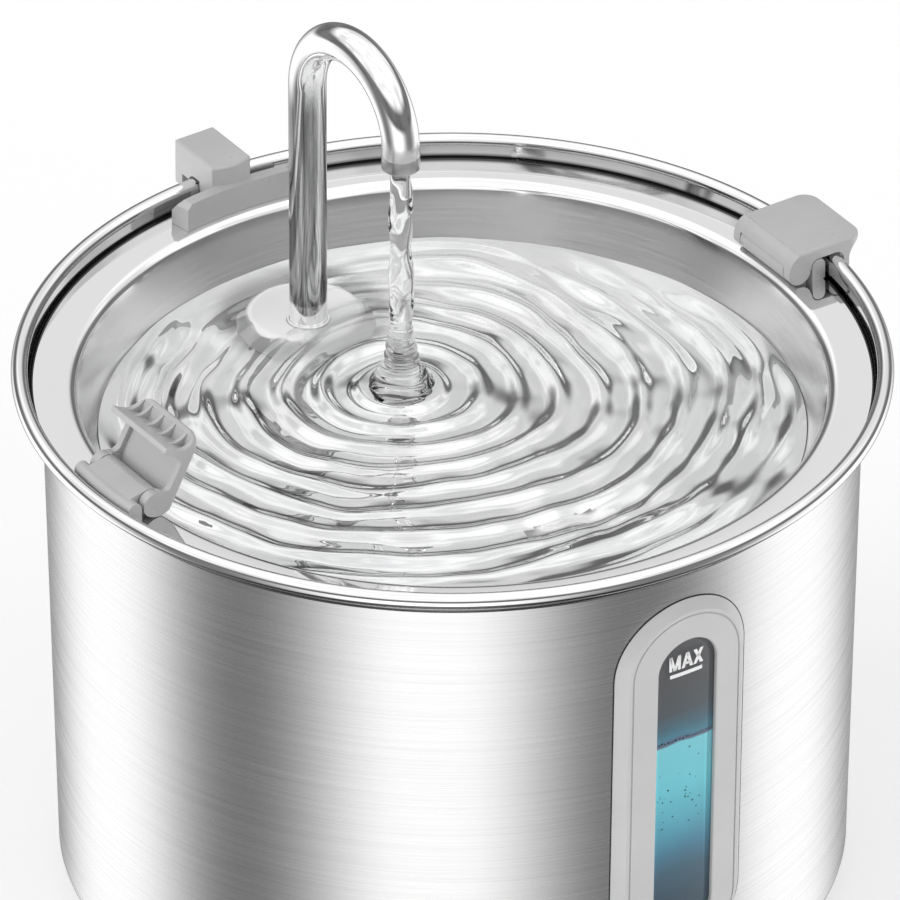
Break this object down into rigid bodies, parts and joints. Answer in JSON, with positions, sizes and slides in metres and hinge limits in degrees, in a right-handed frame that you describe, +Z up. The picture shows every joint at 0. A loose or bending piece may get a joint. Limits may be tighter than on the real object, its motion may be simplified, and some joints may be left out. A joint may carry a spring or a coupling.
{
  "type": "pet water fountain",
  "caption": "Round steel pet water fountain with a drinking tray, gooseneck faucet, two snap latches, level window and pump.",
  "frame": {"origin": "centre of the resting face under the bucket", "axes": "+Z up, the level window faces -Y, the faucet is at +Y"},
  "size_m": [0.2368, 0.2372, 0.2304],
  "materials": {
    "brushed_steel": "fine level brushing, satin",
    "polished_steel": "mirror polished",
    "chrome": "mirror plated",
    "bright_steel": "bright",
    "core_steel": "laminated, matt",
    "copper": "enamelled wire",
    "pale_plastic": "satin, pale grey",
    "white_plastic": "gloss, white",
    "dark_plastic": "satin, black",
    "clear_plastic": "clear, gloss",
    "black_rubber": "matt",
    "grey_rubber": "matt",
    "black_foam": "open foam",
    "filter_fleece": "fleece and carbon pad",
    "ferrite": "matt",
    "ceramic": "ceramic, satin"
  },
  "bodies": {
    "bucket": {"bucket": "brushed_steel", "foot_ring": "grey_rubber", "window_bezel": "pale_plastic", "window_lens": "clear_plastic", "window_gasket": "black_rubber", "window_retainer": "pale_plastic", "window_screws": "bright_steel", "pump_body": "dark_plastic", "pump_rear_cap": "dark_plastic", "impeller_cover": "dark_plastic", "pump_oring": "black_rubber", "intake_grille": "dark_plastic", "prefilter_foam": "black_foam", "impeller_shaft": "bright_steel", "shaft_bushes": "ceramic", "stator_core": "core_steel", "stator_coils": "copper", "cord_gland": "black_rubber", "pump_light": "clear_plastic", "suction_cups": "grey_rubber", "riser_seal": "black_rubber"},
    "tray": {"tray": "polished_steel", "faucet_base": "white_plastic", "base_seal": "black_rubber", "base_nut": "white_plastic", "filter_holder": "white_plastic", "filter_cartridge": "filter_fleece", "riser_pipe": "pale_plastic", "left_latch_base": "pale_plastic", "right_latch_base": "pale_plastic", "left_latch_pin": "bright_steel", "right_latch_pin": "bright_steel", "latch_rivets": "bright_steel", "cord_bridge": "pale_plastic", "bridge_rivets": "bright_steel"},
    "collar": {"faucet_collar": "pale_plastic", "faucet_seal": "black_rubber"},
    "faucet": {"faucet_tube": "chrome", "faucet_outlet": "chrome"},
    "right_lever": {"right_latch_lever": "pale_plastic"},
    "left_lever": {"left_latch_lever": "pale_plastic"},
    "rotor": {"impeller": "pale_plastic", "rotor_magnet": "ferrite"},
    "dial": {"flow_dial": "pale_plastic"}
  },
  "joints": [
    {"name": "tray_lift", "type": "slide", "parent": "bucket", "child": "tray", "axis": [0, 0, 1], "range_m": [0, 0.11]},
    {"name": "right_latch", "type": "hinge", "parent": "tray", "child": "right_lever", "pos_m": [0.10115, 0, 0.1494], "axis": [0, -1, 0], "range_deg": [0, 118]},
    {"name": "left_latch", "type": "hinge", "parent": "tray", "child": "left_lever", "pos_m": [-0.10115, 0, 0.1494], "axis": [0, 1, 0], "range_deg": [-118, 0]},
    {"name": "faucet_swivel", "type": "hinge", "parent": "tray", "child": "collar", "pos_m": [-0.00288, 0.06343, 0.1325], "axis": [0, 0, 1], "range_deg": [-90, 90]},
    {"name": "faucet_pull", "type": "slide", "parent": "collar", "child": "faucet", "axis": [0, 0, 1], "range_m": [0, 0.02]},
    {"name": "impeller_spin", "type": "hinge", "parent": "bucket", "child": "rotor", "pos_m": [-0.00288, 0.06343, 0.0313], "axis": [0, 1, 0], "continuous": true},
    {"name": "flow_dial_turn", "type": "hinge", "parent": "bucket", "child": "dial", "pos_m": [-0.00288, 0.04243, 0.0168], "axis": [0, 1, 0], "range_deg": [0, 90]}
  ]
}
